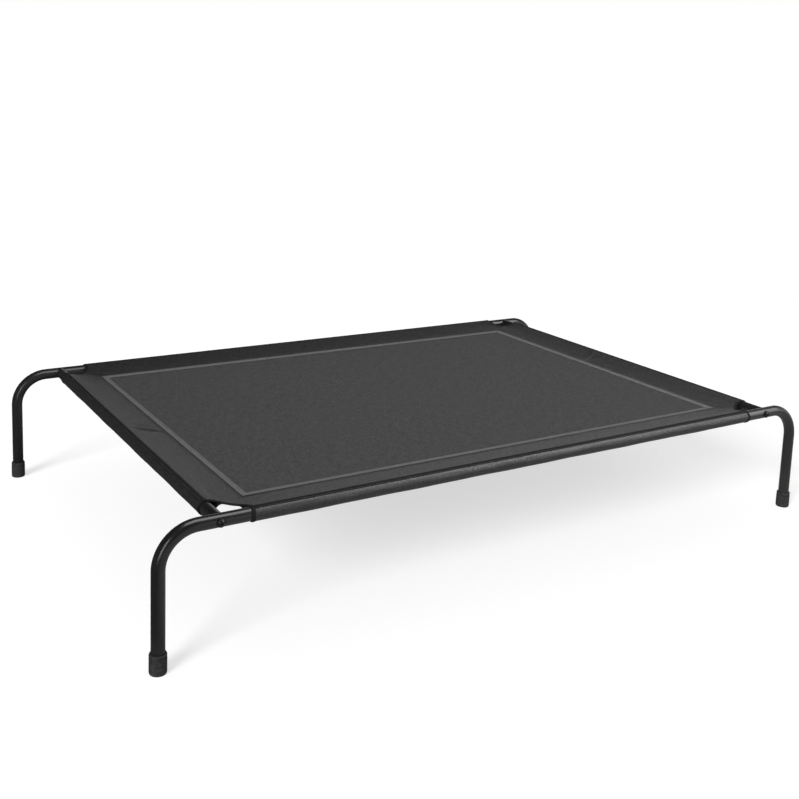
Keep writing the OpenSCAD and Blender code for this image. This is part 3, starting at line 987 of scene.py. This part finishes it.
def mixShader(tree, share, first, second):
    return addNode(tree, "ShaderNodeMixShader", {0: share, 1: first, 2: second}).outputs[0]


# 1 for rays that show the surroundings themselves: from the camera, by gloss or through glass
def seenRays(tree):
    rays = addNode(tree, "ShaderNodeLightPath").outputs
    seen = calc(tree, "MAXIMUM", rays["Is Camera Ray"], rays["Is Glossy Ray"])
    return rays, calc(tree, "MAXIMUM", seen, rays["Is Transmission Ray"])


# Flat grid just under the feet, white with the object's shadow near it and plain white further off
def makeFloor():
    count = studio["floorPoints"]
    span = np.linspace(-1, 1, count) * studio["floorSize"]
    x, y = np.meshgrid(span, span, indexing="ij")
    points = np.stack([x, y, x * 0 + cadLow[2] - studio["floorGap"]], axis=-1).reshape(-1, 3)
    mesh = bpy.data.meshes.new("floor")
    mesh.from_pydata(points.tolist(), [], gridQuads(count, count).tolist())
    floor = addObject("floor", mesh)
    material = bpy.data.materials.new("paleFloor")
    tree = emptyTree(material)
    rays, seen = seenRays(tree)
    place = objectPlace(tree)
    away = addNode(tree, "ShaderNodeVectorMath", {0: place}, operation="LENGTH").outputs["Value"]
    far = remap(tree, away, *studio["floorFade"], 0, 1, smooth=True)
    shaded, glow = diffuse(tree, studio["shadowDepth"]), emission(tree, studio["shadowLift"])
    near = addNode(tree, "ShaderNodeAddShader", {0: shaded, 1: glow}).outputs[0]
    shown = mixShader(tree, far, near, emission(tree, 1.0))
    # Reflections find the floor dimmer on the left and behind, as they find the room
    split = addNode(tree, "ShaderNodeSeparateXYZ", {0: place}).outputs
    along = calc(tree, "MULTIPLY_ADD", split["Y"], studio["floorSlant"], split["X"])
    leftDim, rightDim = 1 - studio["leftFloor"], 1 - studio["rightFloor"]
    dim = remap(tree, along, *studio["floorDim"], leftDim, rightDim, smooth=True)
    dim = calc(tree, "MULTIPLY", dim, rays["Is Glossy Ray"])
    shown = mixShader(tree, dim, shown, emission(tree, 0.0))
    surface = mixShader(tree, seen, diffuse(tree, studio["floorTone"]), shown)
    addNode(tree, "ShaderNodeOutputMaterial", {"Surface": surface})
    mesh.materials.append(material)


# White for the camera, even light for the cloth, and for reflections a room that is dimmer on the left
# and towards the ceiling
def makeWorld():
    world = bpy.data.worlds.new("studio")
    bpy.context.scene.world = world
    tree = emptyTree(world)
    rays, seen = seenRays(tree)
    direction = addNode(tree, "ShaderNodeTexCoord").outputs["Generated"]
    toward = addNode(tree, "ShaderNodeSeparateXYZ", {0: direction}).outputs
    wall = remap(tree, toward["X"], *studio["wallTurn"], studio["leftWall"], studio["wall"], smooth=True)
    ceiling = remap(tree, toward["Z"], *studio["ceilingRise"], 1.0, studio["ceiling"], smooth=True)
    room = calc(tree, "MAXIMUM", calc(tree, "MULTIPLY", wall, ceiling), rays["Is Camera Ray"])
    more = calc(tree, "SUBTRACT", room, studio["ambient"])
    level = calc(tree, "MULTIPLY_ADD", seen, more, studio["ambient"])
    sky = addNode(tree, "ShaderNodeBackground", {"Color": grey(1.0), "Strength": level}).outputs[0]
    addNode(tree, "ShaderNodeOutputWorld", {"Surface": sky})


def hangLamp(name, lamp, place, target):
    holder = addObject(name, lamp)
    holder.location = place
    aim = mathutils.Vector(target) - mathutils.Vector(place)
    holder.rotation_euler = aim.to_track_quat("-Z", "Y").to_euler()
    return holder


# Even light from the front left through a wide diffuser, which casts the shadow and leaves the gloss
# alone
key = {"place": (-1.7, -1.02, 1.0), "target": (0, 0, 0), "strength": 3.85, "spread": math.radians(24)}


def makeKey():
    lamp = bpy.data.lights.new("key", "SUN")
    lamp.energy = key["strength"]
    lamp.angle = key["spread"]
    hangLamp("key", lamp, key["place"], key["target"]).visible_glossy = False


# White cards that show only in the gloss of the tubes and the cloth
cards = {
    "topCard": {"place": (0.5, -0.5, 1.7), "target": (0.5, -0.5, 0), "size": (2.6, 1.0), "watts": 34},
    "rightCard": {"place": (1.7, -1.35, 1.6), "target": (1.5, -0.3, 0.2), "size": (2.0, 1.2), "watts": 40},
    "frontCard": {"place": (1.5, -2.0, 0.7), "target": (0.3, -0.4, 0.2), "size": (2.0, 0.8), "watts": 12},
    "leftCard": {"place": (-2.2, -1.8, 0.8), "target": (-0.6, -0.4, 0.2), "size": (0.3, 1.5), "watts": 14},
}


def makeCard(name, card):
    lamp = bpy.data.lights.new(name, "AREA")
    lamp.shape = "RECTANGLE"
    lamp.size, lamp.size_y = card["size"]
    lamp.energy = card["watts"]
    hangLamp(name, lamp, card["place"], card["target"]).visible_diffuse = False


# Camera fitted to the picture, in pixels of its 799 square and radians
camera = {"place": (-1.0568, -1.6482, 0.7785), "yaw": -0.56152, "pitch": 0.15767, "roll": 0.03673,
          "focal": 1080.5, "frame": 799, "sensor": 36.0, "shift": -0.19}


# Forward, right and up from yaw and pitch, then turned by the roll; the camera looks along its own -Z
def makeCamera():
    data = bpy.data.cameras.new("camera")
    data.sensor_width = camera["sensor"]
    data.lens = camera["focal"] / camera["frame"] * camera["sensor"]
    data.shift_y = camera["shift"]
    yaw, pitch, roll = camera["yaw"], camera["pitch"], camera["roll"]
    forward = np.array([-math.sin(yaw) * math.cos(pitch), math.cos(yaw) * math.cos(pitch), -math.sin(pitch)])
    right = np.array([math.cos(yaw), math.sin(yaw), 0])
    up = np.cross(right, forward)
    tilted = right * math.cos(roll) + up * math.sin(roll)
    upright = up * math.cos(roll) - right * math.sin(roll)
    holder = addObject("camera", data)
    holder.matrix_world = mathutils.Matrix((tilted, upright, -forward)).transposed().to_4x4()
    holder.location = camera["place"]
    bpy.context.scene.camera = holder


makeFloor()
makeWorld()
makeKey()
for name, card in cards.items():
    makeCard(name, card)
makeCamera()
bpy.context.scene.view_settings.view_transform = "Standard"
print("studio: floor, world, lamps and camera")
